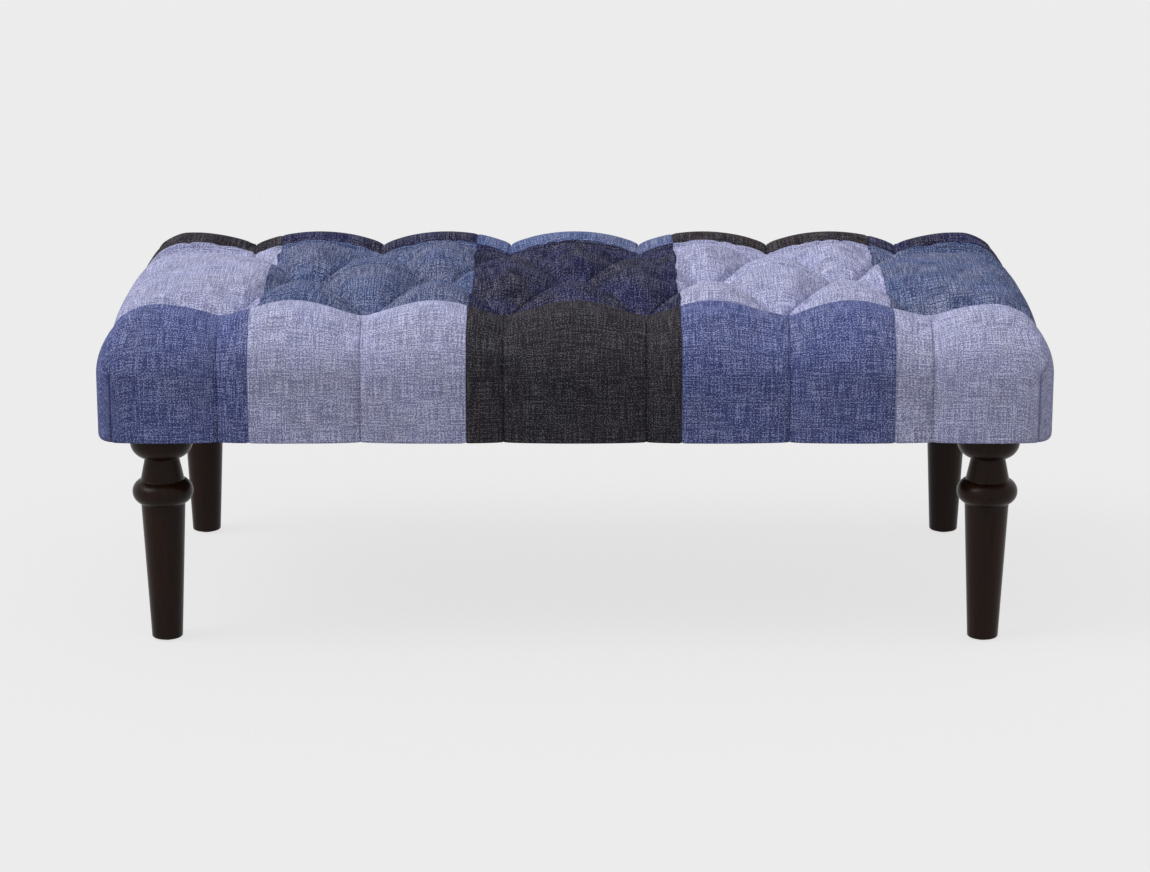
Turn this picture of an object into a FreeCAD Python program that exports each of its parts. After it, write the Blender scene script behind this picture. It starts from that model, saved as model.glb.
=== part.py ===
import FreeCAD, Part
import math
import os
from FreeCAD import Vector

# Tufted bench footstool: a diamond-tufted patchwork cover over foam and wadding, on a plywood deck
# and a dowelled rail frame that stands on four turned legs.
# Millimetres, +Z up. The origin is on the floor under the middle of the seat, with the front at -Y.

# Overall sizes
SEAT_LENGTH = 1245.0
SEAT_DEPTH = 610.0
TOTAL_HEIGHT = 457.0
SEAT_UNDERSIDE = 282.0

# Tufting: two outer rows and a middle row that is set half a pitch aside
OUTER_ROW_TUFTS = 6
TUFT_END_MARGIN = 165.0
TUFT_SIDE_MARGIN = 147.0
TUFT_DEPTH = 50.0
TUFT_FLAT = 24.0
TUFT_DISH = 0.8
CREASE_RISE = 18.0
PLEAT_DEPTH = 20.0
PLEAT_DRAW = 4.0
PITCH_STRIPS = 12
END_STRIPS = 6
ROLL_STRIPS = 7

# Rolled edges and crowned sides of the padded seat
CREST_DROP = 5.0
ROLL_WIDTH = 77.0
ROLL_HEIGHT = 85.0
ROLL_END_ANGLE = 78.0
CROWN_AT_PLEAT = 2.0
CROWN_BETWEEN_PLEATS = 20.0
SIDE_DRAW = 4.0
BOTTOM_ROUND = 8.0
CORNER_ROUND = 30.0
CORNER_FALL = 45.0

# Cover, patchwork and padding
COVER_THICKNESS = 1.5
COVER_TURN_UNDER = 30.0
PATCH_WIDTH = 279.0
PATCH_COLUMNS = 5
PATCH_SEAM_INSET = 101.0
SIDE_PADDING = 20.0
FOAM_UNDER_TUFT = 8.0
DUST_COVER_THICKNESS = 0.8
DUST_COVER_INSET = 15.0

# Frame
RAIL_THICKNESS = 22.0
DECK_THICKNESS = 12.0
DECK_CORNER_CUT = 20.0
DECK_TWINE_HOLE = 8.0
CORNER_BLOCK_LENGTH = 120.0
CORNER_BLOCK_DEPTH = 90.0
CORNER_BLOCK_TIP = 20.0
CORNER_BLOCK_HEIGHT = 30.0
DOWEL_DIAMETER = 10.0
DOWEL_LENGTH = 46.0
DOWEL_END_WALL = 6.0
DOWEL_HEIGHTS = (22.0, 60.0)

# Legs
LEG_FROM_END_RAIL = 38.25
FOOT_RADIUS = 20.4
FOOT_ROUND = 2.5
TAPER_TOP_RADIUS = 29.0
BEAD_RADIUS = 39.9
BEAD_ROUND = 16.8
BEAD_BELOW_SEAT = 78.5
NECK_BASE_RADIUS = 28.6
NECK_TOP_RADIUS = 22.3
BUN_RADIUS = 41.2
BUN_ROUND = 22.4
BUN_BAND = 10.3
BUN_TOP_ROUND = 3.0
LEG_COVE = 1.2

# Leg fixings and foot glides
BOLT_DIAMETER = 8.0
BOLT_IN_LEG = 38.0
BOLT_ABOVE_NUT = 3.0
NUT_FLANGE_DIAMETER = 22.0
NUT_FLANGE_THICKNESS = 1.5
NUT_BARREL_WALL = 1.2
NUT_BARREL_LENGTH = 9.0
NUT_RAIL_CLEARANCE = 1.5
GLIDE_DIAMETER = 24.0
GLIDE_THICKNESS = 2.5
GLIDE_ROUND = 1.0
GLIDE_NAIL_DIAMETER = 2.5
GLIDE_NAIL_LENGTH = 14.0

# Screws
SCREW_DIAMETER = 4.5
SCREW_HEAD_DIAMETER = 8.5
SCREW_HEAD_HEIGHT = 3.2
SCREW_GRIP_IN_BLOCK = 25.0
SCREW_IN_RAIL = 17.0
BLOCK_SCREW_ALONG = 95.0
BLOCK_SCREW_ACROSS = 65.0
DECK_SCREW_IN_RAIL = 22.0
DECK_SCREWS_LONG = 5
DECK_SCREWS_SHORT = 2
DECK_SCREW_END_MARGIN = 90.0

# Tuft buttons, twine and washers
BUTTON_DIAMETER = 11.0
BUTTON_DOME = 2.0
BUTTON_RIM = 1.0
BUTTON_SHANK_DIAMETER = 4.0
BUTTON_SHANK_LENGTH = 4.0
TWINE_DIAMETER = 2.4
TWINE_KNOT_DIAMETER = 6.4
WASHER_DIAMETER = 20.0
WASHER_THICKNESS = 2.5

# Clearances
SOFT_CLEARANCE = 0.3
HOLE_CLEARANCE = 0.1
TWINE_CLEARANCE = 0.5

# Derived places
HALF_LENGTH = SEAT_LENGTH / 2
HALF_DEPTH = SEAT_DEPTH / 2
TUFT_PITCH = (SEAT_LENGTH - 2 * TUFT_END_MARGIN) / (OUTER_ROW_TUFTS - 1)
OUTER_ROW_Y = HALF_DEPTH - TUFT_SIDE_MARGIN
LAST_PLEAT_X = HALF_LENGTH - TUFT_END_MARGIN
TUFT_Z = TOTAL_HEIGHT - TUFT_DEPTH
CREST_Z = TOTAL_HEIGHT - CREST_DROP
PLEAT_Z = CREST_Z - PLEAT_DEPTH
SIDE_TOP_Z = CREST_Z - ROLL_HEIGHT
PATCH_SEAM_Y = HALF_DEPTH - PATCH_SEAM_INSET
COVER_BOTTOM_Z = SEAT_UNDERSIDE + DUST_COVER_THICKNESS
FRAME_BOTTOM_Z = COVER_BOTTOM_Z + COVER_THICKNESS
PADDING_INSET = COVER_THICKNESS + SOFT_CLEARANCE
DECK_TOP_Z = TUFT_Z - PADDING_INSET - FOAM_UNDER_TUFT
DECK_BOTTOM_Z = DECK_TOP_Z - DECK_THICKNESS
FRAME_X = HALF_LENGTH - SIDE_PADDING
FRAME_Y = HALF_DEPTH - SIDE_PADDING
INNER_X = FRAME_X - RAIL_THICKNESS
INNER_Y = FRAME_Y - RAIL_THICKNESS
NUT_BARREL_DIAMETER = BOLT_DIAMETER + 2 * NUT_BARREL_WALL
LEG_X = INNER_X - LEG_FROM_END_RAIL
LEG_Y = INNER_Y - NUT_FLANGE_DIAMETER / 2 - NUT_RAIL_CLEARANCE
BLOCK_TOP_Z = FRAME_BOTTOM_Z + CORNER_BLOCK_HEIGHT
BRACE_X = 1.25 * TUFT_PITCH
KNOT_Z = DECK_BOTTOM_Z - WASHER_THICKNESS - TWINE_KNOT_DIAMETER / 2
SIDES = {"left": -1, "right": 1}
FACES = {"front": -1, "back": 1}
UP = Vector(0, 0, 1)


# Basic shapes

def block(x_min, x_max, y_min, y_max, z_min, z_max):
    return Part.makeBox(x_max - x_min, y_max - y_min, z_max - z_min, Vector(x_min, y_min, z_min))


def rod(diameter, start, end):
    return Part.makeCylinder(diameter / 2, (end - start).Length, start, end - start)


def line(a, b):
    return Part.LineSegment(a, b).toShape()


def arc(a, through, b):
    return Part.Arc(a, through, b).toShape()


def turned(edges):
    """Solid of revolution about Z from edges in the XZ plane that close on the axis."""
    return Part.Face(Part.Wire(edges)).revolve(Vector(0, 0, 0), UP, 360)


def mirrored_x(shape):
    return shape.mirror(Vector(0, 0, 0), Vector(1, 0, 0))


def mirrored_y(shape):
    return shape.mirror(Vector(0, 0, 0), Vector(0, 1, 0))


def corner_names():
    """Every corner with its name and the signs of its X and Y."""
    return [(f"{face}_{side}", sx, sy) for face, sy in FACES.items() for side, sx in SIDES.items()]


def tuft_places():
    """Centres of the tufts: both outer rows, then the middle row between them."""
    outer_x = [-LAST_PLEAT_X + i * TUFT_PITCH for i in range(OUTER_ROW_TUFTS)]
    outer = [(x, sy * OUTER_ROW_Y) for sy in FACES.values() for x in outer_x]
    middle = [(x + TUFT_PITCH / 2, 0.0) for x in outer_x[:-1]]
    return outer + middle


# Tufted seat form

def section(x, inset, half_depth, side_top, crest, crease, middle_z, crown):
    """Closed YZ outline at x: flat bottom, crowned sides, rolled edges and three pillow arcs."""
    bottom = COVER_BOTTOM_Z + inset
    round_radius = BOTTOM_ROUND - inset
    foot_y = half_depth - inset - SIDE_DRAW
    roll_y = half_depth - inset - SIDE_DRAW / 2
    crest_y, crest_z = crest[0], crest[1] - inset
    crease_y, crease_z = crease[0], crease[1] - inset
    slant = math.sqrt(0.5)

    def side(sign):
        def at(y, z):
            return Vector(x, sign * y, z)
        base = at(foot_y - round_radius, bottom)
        base_via = at(foot_y - round_radius * (1 - slant), bottom + round_radius * (1 - slant))
        foot = at(foot_y, bottom + round_radius)
        side_via = at(half_depth - inset, (bottom + round_radius + side_top) / 2)
        roll = at(roll_y, side_top)
        roll_via = at(crest_y + (roll_y - crest_y) * slant, side_top + (crest_z - side_top) * slant)
        top = at(crest_y, crest_z)
        top_via = at((crest_y + crease_y) / 2, (crest_z + crease_z) / 2 + crown)
        low = at(crease_y, crease_z)
        return [(base, base_via, foot), (foot, side_via, roll), (roll, roll_via, top), (top, top_via, low)]

    front, back = side(-1), side(1)
    edges = [line(back[0][0], front[0][0])]
    edges += [arc(*points) for points in front]
    edges += [arc(front[-1][2], Vector(x, 0, middle_z - inset), back[-1][2])]
    edges += [arc(end, via, start) for start, via, end in reversed(back)]
    return Part.Wire(edges)


def scallop(u):
    """Swell from a pleat, u = 0, to the middle of the pillow, u = 1: sharp at the pleat, level at the top."""
    return 1 - (1 - u) ** 2


def crease_height(u):
    return TUFT_Z + TUFT_DISH * u + CREASE_RISE * 4 * u * (1 - u)


def pillow_crown(u):
    return CROWN_AT_PLEAT + (CROWN_BETWEEN_PLEATS - CROWN_AT_PLEAT) * u


def pitch_section(x, u, inset):
    """Outline between two pleats: the creases run from the outer tufts to the middle tuft."""
    swell = scallop(u)
    half_depth = HALF_DEPTH - PLEAT_DRAW * (1 - swell)
    crest = (HALF_DEPTH - ROLL_WIDTH, PLEAT_Z + PLEAT_DEPTH * swell)
    crease_y = OUTER_ROW_Y + (TUFT_FLAT / 2 - OUTER_ROW_Y) * u
    middle_z = TUFT_Z + TUFT_DEPTH * (1 - u * u)
    crease = (crease_y, crease_height(u))
    return section(x, inset, half_depth, SIDE_TOP_Z, crest, crease, middle_z, pillow_crown(u))


def end_section(x, inset, s, fall):
    """Outline past the last pleat: s runs from 0 there to 1 at the end crest, fall scales the end roll."""
    swell = scallop(min(1.0, (x - LAST_PLEAT_X) / (TUFT_PITCH / 2)))
    past_corner = max(0.0, (x + inset - HALF_LENGTH + CORNER_ROUND) / CORNER_ROUND)
    corner_cut = CORNER_ROUND * (1 - math.sqrt(max(0.0, 1 - past_corner ** 2)))
    half_depth = HALF_DEPTH - PLEAT_DRAW * (1 - swell) - corner_cut
    side_top = SIDE_TOP_Z - CORNER_FALL * past_corner ** 2

    def rolled(z):
        return SIDE_TOP_Z + (z - SIDE_TOP_Z) * fall
    crest = (half_depth - ROLL_WIDTH, rolled(PLEAT_Z + PLEAT_DEPTH * swell))
    crease = (OUTER_ROW_Y, rolled(TUFT_Z + (PLEAT_Z - TUFT_Z) * math.sin(math.pi / 2 * s)))
    middle_z = rolled(TOTAL_HEIGHT - CREST_DROP * s)
    return section(x, inset, half_depth, side_top, crest, crease, middle_z, CROWN_AT_PLEAT)


def pitch_loft(inset):
    """The stretch from one pleat to the next, with a middle tuft halfway."""
    outlines = []
    for i in range(PITCH_STRIPS + 1):
        t = 2.0 * i / PITCH_STRIPS - 1
        outlines.append(pitch_section(t * TUFT_PITCH / 2, 1 - abs(t), inset))
    return Part.makeLoft(outlines, True, True)


def end_loft(inset):
    """The stretch from the last pleat over the right end roll, with two end pleats at the outer rows."""
    crest_x = HALF_LENGTH - ROLL_WIDTH
    widest = math.radians(ROLL_END_ANGLE)
    outlines = []
    for i in range(END_STRIPS + 1):
        s = i / END_STRIPS
        outlines.append(end_section(LAST_PLEAT_X + s * (crest_x - LAST_PLEAT_X), inset, s, 1.0))
    for i in range(1, ROLL_STRIPS + 1):
        angle = widest * i / ROLL_STRIPS
        x = crest_x + (ROLL_WIDTH - inset) * math.sin(angle) / math.sin(widest)
        outlines.append(end_section(x, inset, 1.0, math.cos(angle)))
    return Part.makeLoft(outlines, True, True)


def along_seat(pitch, end):
    """Copies of a stretch between every two pleats, closed by an end stretch on both sides."""
    stretches = [mirrored_x(end)]
    for i in range(OUTER_ROW_TUFTS - 1):
        stretches.append(pitch.translated(Vector(-LAST_PLEAT_X + (i + 0.5) * TUFT_PITCH, 0, 0)))
    return stretches + [end]


def within(stretches, cell):
    """What lies inside a cell of stretches that stand side by side, as one solid."""
    near = [piece for piece in stretches if piece.BoundBox.intersect(cell.BoundBox)]
    parts = [piece.common(cell) for piece in near]
    parts = [part for part in parts if part.Solids]
    return parts[0].fuse(parts[1:]) if parts[1:] else parts[0]


# Soft parts

def twine_holes(diameter):
    rods = [rod(diameter, Vector(x, y, SEAT_UNDERSIDE), Vector(x, y, TOTAL_HEIGHT)) for x, y in tuft_places()]
    return Part.Compound(rods)


def cover_patches():
    """The cover cut along its patchwork seams: five columns on the front, the top and the back."""
    opening = block(-HALF_LENGTH + COVER_TURN_UNDER, HALF_LENGTH - COVER_TURN_UNDER,
                    -HALF_DEPTH + COVER_TURN_UNDER, HALF_DEPTH - COVER_TURN_UNDER,
                    SEAT_UNDERSIDE, DECK_BOTTOM_Z)
    pitch = pitch_loft(0.0).cut(pitch_loft(COVER_THICKNESS))
    end = end_loft(0.0).cut(end_loft(COVER_THICKNESS))
    holes = twine_holes(TWINE_DIAMETER + 2 * TWINE_CLEARANCE)
    shell = [stretch.cut(opening).cut(holes) for stretch in along_seat(pitch, end)]
    rows = {"front": (-HALF_DEPTH, -PATCH_SEAM_Y), "top": (-PATCH_SEAM_Y, PATCH_SEAM_Y)}
    half_patch = PATCH_WIDTH / 2
    columns = {"3": (-half_patch, half_patch), "4": (half_patch, half_patch + PATCH_WIDTH),
               "5": (half_patch + PATCH_WIDTH, HALF_LENGTH)}
    patches = {}
    for row, y_range in rows.items():
        for column, x_range in columns.items():
            cell = block(*x_range, *y_range, SEAT_UNDERSIDE, TOTAL_HEIGHT)
            patches[f"cover_{row}_{column}"] = within(shell, cell)
        patches[f"cover_{row}_2"] = mirrored_x(patches[f"cover_{row}_4"])
        patches[f"cover_{row}_1"] = mirrored_x(patches[f"cover_{row}_5"])
    for column in range(1, PATCH_COLUMNS + 1):
        patches[f"cover_back_{column}"] = mirrored_y(patches[f"cover_front_{column}"])
    return patches


def foam_and_wadding():
    """Tufted foam above the deck, and a wadding strip on the outside of each rail."""
    form = along_seat(pitch_loft(PADDING_INSET), end_loft(PADDING_INSET))
    wide_x, wide_y = HALF_LENGTH, HALF_DEPTH
    near_x, near_y = FRAME_X + SOFT_CLEARANCE, FRAME_Y + SOFT_CLEARANCE
    above = block(-wide_x, wide_x, -wide_y, wide_y, DECK_TOP_Z, TOTAL_HEIGHT)
    low = (SEAT_UNDERSIDE, DECK_TOP_Z)
    solids = {
        "foam_pad": within(form, above).cut(twine_holes(TWINE_DIAMETER + 2 * TWINE_CLEARANCE)),
        "front_wadding": within(form, block(-wide_x, wide_x, -wide_y, -near_y, *low)),
        "right_wadding": within(form, block(near_x, wide_x, -near_y, near_y, *low)),
    }
    solids["back_wadding"] = mirrored_y(solids["front_wadding"])
    solids["left_wadding"] = mirrored_x(solids["right_wadding"])
    return solids


def dust_cover():
    x, y = HALF_LENGTH - DUST_COVER_INSET, HALF_DEPTH - DUST_COVER_INSET
    sheet = block(-x, x, -y, y, SEAT_UNDERSIDE, COVER_BOTTOM_Z)
    for _, sx, sy in corner_names():
        below = Vector(sx * LEG_X, sy * LEG_Y, SEAT_UNDERSIDE)
        sheet = sheet.cut(rod(BOLT_DIAMETER + 2 * HOLE_CLEARANCE, below, below + UP * DUST_COVER_THICKNESS))
    return sheet


# Frame

def dowel_places():
    """Start and end of every dowel: two at each end of the end rails and of the cross braces."""
    places = []
    for x in (-FRAME_X + RAIL_THICKNESS / 2, -BRACE_X, BRACE_X, FRAME_X - RAIL_THICKNESS / 2):
        for sy in FACES.values():
            for height in DOWEL_HEIGHTS:
                start = Vector(x, sy * (FRAME_Y - DOWEL_END_WALL), FRAME_BOTTOM_Z + height)
                places.append((start, start - Vector(0, sy * DOWEL_LENGTH, 0)))
    return places


def block_screw_places():
    """Head seat and direction of the two screws in each corner block, one into each rail."""
    places = []
    height = FRAME_BOTTOM_Z + CORNER_BLOCK_HEIGHT / 2
    for _, sx, sy in corner_names():
        along = Vector(sx * (INNER_X - BLOCK_SCREW_ALONG), sy * (INNER_Y - SCREW_GRIP_IN_BLOCK), height)
        across = Vector(sx * (INNER_X - SCREW_GRIP_IN_BLOCK), sy * (INNER_Y - BLOCK_SCREW_ACROSS), height)
        places.append((along, Vector(0, sy, 0)))
        places.append((across, Vector(sx, 0, 0)))
    return places


def deck_screw_places():
    """Points on top of the deck over the middle of the rails."""
    rail_y = FRAME_Y - RAIL_THICKNESS / 2
    rail_x = FRAME_X - RAIL_THICKNESS / 2
    reach_x, reach_y = FRAME_X - DECK_SCREW_END_MARGIN, FRAME_Y - DECK_SCREW_END_MARGIN
    places = []
    for i in range(DECK_SCREWS_LONG):
        x = -reach_x + 2 * reach_x * i / (DECK_SCREWS_LONG - 1)
        places += [Vector(x, sy * rail_y, DECK_TOP_Z) for sy in FACES.values()]
    for i in range(DECK_SCREWS_SHORT):
        y = -reach_y + 2 * reach_y * i / (DECK_SCREWS_SHORT - 1)
        places += [Vector(sx * rail_x, y, DECK_TOP_Z) for sx in SIDES.values()]
    return places


def round_head_screw(seat, direction):
    """Screw whose head stands on its seat and whose shank runs through the block into the rail."""
    tip = seat + direction * (SCREW_GRIP_IN_BLOCK + SCREW_IN_RAIL)
    head = rod(SCREW_HEAD_DIAMETER, seat - direction * SCREW_HEAD_HEIGHT, seat)
    return head.fuse(rod(SCREW_DIAMETER, seat, tip))


def flush_screw(top, clearance):
    """Countersunk deck screw, or its hole when it is given a clearance."""
    wide = SCREW_HEAD_DIAMETER / 2 + clearance
    thin = SCREW_DIAMETER / 2 + clearance
    head = Part.makeCone(wide, thin, SCREW_HEAD_HEIGHT, top, UP * -1)
    tip = top - UP * (DECK_THICKNESS + DECK_SCREW_IN_RAIL + clearance)
    return head.fuse(rod(2 * thin, top - UP * SCREW_HEAD_HEIGHT, tip))


def frame_holes():
    """Everything that is drilled into the rails, braces and deck."""
    dowels = [rod(DOWEL_DIAMETER, start, end) for start, end in dowel_places()]
    pilots = [rod(SCREW_DIAMETER, seat, seat + way * (SCREW_GRIP_IN_BLOCK + SCREW_IN_RAIL))
              for seat, way in block_screw_places()]
    flush = [flush_screw(top, 0.0) for top in deck_screw_places()]
    return Part.Compound(dowels + pilots + flush)


def deck_blank():
    """Deck board with its four corners cut off, so that the rolled edges stay soft there."""
    board = block(-FRAME_X, FRAME_X, -FRAME_Y, FRAME_Y, DECK_BOTTOM_Z, DECK_TOP_Z)
    upright = [edge for edge in board.Edges if abs(edge.tangentAt(edge.FirstParameter).z) > 0.5]
    return board.makeChamfer(DECK_CORNER_CUT, upright)


def frame_parts():
    """Long rails between the corners, end rails and braces between them, and the deck on top."""
    holes = frame_holes()
    z = (FRAME_BOTTOM_Z, DECK_BOTTOM_Z)
    half_brace = RAIL_THICKNESS / 2
    solids = {
        "front_rail": block(-FRAME_X, FRAME_X, -FRAME_Y, -INNER_Y, *z),
        "back_rail": block(-FRAME_X, FRAME_X, INNER_Y, FRAME_Y, *z),
    }
    for side, sx in SIDES.items():
        outer = sorted((sx * INNER_X, sx * FRAME_X))
        solids[f"{side}_rail"] = block(*outer, -INNER_Y, INNER_Y, *z)
        middle = sx * BRACE_X
        solids[f"{side}_cross_brace"] = block(middle - half_brace, middle + half_brace, -INNER_Y, INNER_Y, *z)
    solids["deck_panel"] = deck_blank()
    solids = {name: solid.cut(holes) for name, solid in solids.items()}
    solids["deck_panel"] = solids["deck_panel"].cut(twine_holes(DECK_TWINE_HOLE))
    return solids


def corner_block(sx, sy):
    """Five-sided block in a corner of the frame, bored for the leg bolt and both screws."""
    def at(along, across):
        return Vector(sx * (INNER_X - along), sy * (INNER_Y - across), FRAME_BOTTOM_Z)
    slope = CORNER_BLOCK_DEPTH - CORNER_BLOCK_TIP
    corners = [at(0, 0), at(CORNER_BLOCK_LENGTH, 0), at(CORNER_BLOCK_LENGTH, CORNER_BLOCK_TIP),
               at(CORNER_BLOCK_LENGTH - slope, CORNER_BLOCK_DEPTH), at(0, CORNER_BLOCK_DEPTH)]
    solid = Part.Face(Part.makePolygon(corners + corners[:1])).extrude(UP * CORNER_BLOCK_HEIGHT)
    bolt = Vector(sx * LEG_X, sy * LEG_Y, FRAME_BOTTOM_Z)
    top = Vector(sx * LEG_X, sy * LEG_Y, BLOCK_TOP_Z)
    solid = solid.cut(rod(BOLT_DIAMETER + 2 * HOLE_CLEARANCE, bolt, top))
    solid = solid.cut(rod(NUT_BARREL_DIAMETER + 2 * HOLE_CLEARANCE, top - UP * NUT_BARREL_LENGTH, top))
    for seat, way in block_screw_places():
        head_hole = rod(SCREW_HEAD_DIAMETER + 2 * HOLE_CLEARANCE, seat - way * CORNER_BLOCK_LENGTH, seat)
        solid = solid.cut(head_hole)
        solid = solid.cut(rod(SCREW_DIAMETER, seat, seat + way * SCREW_GRIP_IN_BLOCK))
    return solid


# Legs and their fixings

def leg():
    """Turned leg: tapered foot, half-round bead, flared neck and a bun under the seat."""
    bead_z = SEAT_UNDERSIDE - BEAD_BELOW_SEAT
    bead_in = BEAD_RADIUS - BEAD_ROUND
    bun_z = SEAT_UNDERSIDE - BUN_BAND
    bun_in = BUN_RADIUS - BUN_ROUND
    slant = math.sqrt(0.5)

    def on_bead(radius, way):
        return Vector(radius, 0, bead_z + way * math.sqrt(BEAD_ROUND ** 2 - (radius - bead_in) ** 2))
    floor = Vector(0, 0, GLIDE_THICKNESS)
    foot_flat = Vector(FOOT_RADIUS - FOOT_ROUND, 0, GLIDE_THICKNESS)
    foot_via = Vector(FOOT_RADIUS - FOOT_ROUND * (1 - slant), 0, GLIDE_THICKNESS + FOOT_ROUND * (1 - slant))
    foot = Vector(FOOT_RADIUS, 0, GLIDE_THICKNESS + FOOT_ROUND)
    bead_low = on_bead(TAPER_TOP_RADIUS, -1)
    bead_top = on_bead(NECK_BASE_RADIUS, 1)
    neck_fall = math.sqrt(BUN_ROUND ** 2 - (NECK_TOP_RADIUS - bun_in) ** 2)
    neck = Vector(NECK_TOP_RADIUS, 0, bun_z - neck_fall)
    bun_via = Vector(bun_in + BUN_ROUND * slant, 0, bun_z - BUN_ROUND * slant)
    bun = Vector(BUN_RADIUS, 0, bun_z)
    band = Vector(BUN_RADIUS, 0, SEAT_UNDERSIDE - BUN_TOP_ROUND)
    band_cut = BUN_TOP_ROUND * (1 - slant)
    band_via = Vector(BUN_RADIUS - band_cut, 0, SEAT_UNDERSIDE - band_cut)
    band_top = Vector(BUN_RADIUS - BUN_TOP_ROUND, 0, SEAT_UNDERSIDE)
    top = Vector(0, 0, SEAT_UNDERSIDE)
    solid = turned([
        line(floor, foot_flat), arc(foot_flat, foot_via, foot), line(foot, bead_low),
        arc(bead_low, Vector(BEAD_RADIUS, 0, bead_z), bead_top), line(bead_top, neck),
        arc(neck, bun_via, bun), line(bun, band), arc(band, band_via, band_top),
        line(band_top, top), line(top, floor)])
    inner_corners = [bead_low.z, bead_top.z, neck.z]
    coved = [edge for edge in solid.Edges if edge.isClosed() and any(
        abs(edge.CenterOfMass.z - z) < HOLE_CLEARANCE for z in inner_corners)]
    solid = solid.makeFillet(LEG_COVE, coved)
    solid = solid.cut(rod(BOLT_DIAMETER, top - UP * BOLT_IN_LEG, top))
    return solid.cut(rod(GLIDE_NAIL_DIAMETER, floor, floor + UP * GLIDE_NAIL_LENGTH))


def hanger_bolt():
    return rod(BOLT_DIAMETER, UP * (SEAT_UNDERSIDE - BOLT_IN_LEG),
               UP * (BLOCK_TOP_Z + NUT_FLANGE_THICKNESS + BOLT_ABOVE_NUT))


def tee_nut():
    """Flange on the corner block with a barrel let into it, bored for the bolt."""
    top = UP * BLOCK_TOP_Z
    flange = rod(NUT_FLANGE_DIAMETER, top, top + UP * NUT_FLANGE_THICKNESS)
    barrel = rod(NUT_BARREL_DIAMETER, top - UP * NUT_BARREL_LENGTH, top)
    bore = rod(BOLT_DIAMETER, top - UP * NUT_BARREL_LENGTH, top + UP * NUT_FLANGE_THICKNESS)
    return flange.fuse(barrel).cut(bore)


def foot_glide():
    """Nail-on glide with a rounded rim under the foot."""
    radius = GLIDE_DIAMETER / 2
    slant = math.sqrt(0.5)
    centre = Vector(0, 0, 0)
    flat = Vector(radius - GLIDE_ROUND, 0, 0)
    rim_via = Vector(radius - GLIDE_ROUND * (1 - slant), 0, GLIDE_ROUND * (1 - slant))
    rim = Vector(radius, 0, GLIDE_ROUND)
    edge = Vector(radius, 0, GLIDE_THICKNESS)
    top = Vector(0, 0, GLIDE_THICKNESS)
    disc = turned([line(centre, flat), arc(flat, rim_via, rim), line(rim, edge), line(edge, top),
                   line(top, centre)])
    return disc.fuse(rod(GLIDE_NAIL_DIAMETER, top, top + UP * GLIDE_NAIL_LENGTH))


# Tuft fixings

def button_back_z():
    """Height of a button's flat back, where the pillows beside an outer tuft stop its edge."""
    u = BUTTON_DIAMETER / TUFT_PITCH
    aside = (OUTER_ROW_Y - TUFT_FLAT / 2) * u
    share = aside / (HALF_DEPTH - ROLL_WIDTH - OUTER_ROW_Y + aside)
    crease_z, crown = crease_height(u), pillow_crown(u)
    crest_z = PLEAT_Z + PLEAT_DEPTH * scallop(u)
    pillow_z = crease_z + (crest_z - crease_z) * share + 4 * crown * share * (1 - share)
    return pillow_z + SOFT_CLEARANCE


def shank_bottom_z():
    return button_back_z() - BUTTON_SHANK_LENGTH


def tuft_button():
    """Covered button: low dome, thin rim, flat back and a shank."""
    radius = BUTTON_DIAMETER / 2
    ball = (radius ** 2 + BUTTON_DOME ** 2) / (2 * BUTTON_DOME)
    shoulder = math.sqrt(ball ** 2 - (radius / 2) ** 2)
    back_z = button_back_z()
    rim_z = back_z + BUTTON_RIM
    rim = Vector(radius, 0, rim_z)
    via = Vector(radius / 2, 0, rim_z + BUTTON_DOME - ball + shoulder)
    crown = Vector(0, 0, rim_z + BUTTON_DOME)
    shank_radius = BUTTON_SHANK_DIAMETER / 2
    edge = Vector(radius - BUTTON_RIM, 0, back_z)
    neck = Vector(shank_radius, 0, back_z)
    shank = Vector(shank_radius, 0, shank_bottom_z())
    low = Vector(0, 0, shank_bottom_z())
    return turned([line(low, shank), line(shank, neck), line(neck, edge), line(edge, rim),
                   arc(rim, via, crown), line(crown, low)])


def tuft_twine():
    """Twine from the button's shank through the pad and deck to a knot under the washer."""
    strand = rod(TWINE_DIAMETER, UP * KNOT_Z, UP * shank_bottom_z())
    return strand.fuse(Part.makeSphere(TWINE_KNOT_DIAMETER / 2, UP * KNOT_Z))


def twine_washer():
    top = UP * DECK_BOTTOM_Z
    low = top - UP * WASHER_THICKNESS
    return rod(WASHER_DIAMETER, low, top).cut(rod(TWINE_DIAMETER + 2 * HOLE_CLEARANCE, low, top))


def at_tufts(shape):
    return Part.Compound([shape.translated(Vector(x, y, 0)) for x, y in tuft_places()])


def patch_buttons():
    """Buttons by the top patch whose fabric covers them."""
    button = tuft_button()
    by_patch = {}
    for x, y in tuft_places():
        column = round(x / PATCH_WIDTH) + (PATCH_COLUMNS + 1) // 2
        by_patch.setdefault(f"tuft_buttons_{column}", []).append(button.translated(Vector(x, y, 0)))
    return {name: Part.Compound(buttons) for name, buttons in by_patch.items()}


def at_legs(shape):
    places = [Vector(sx * LEG_X, sy * LEG_Y, 0) for _, sx, sy in corner_names()]
    return Part.Compound([shape.translated(place) for place in places])


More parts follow.
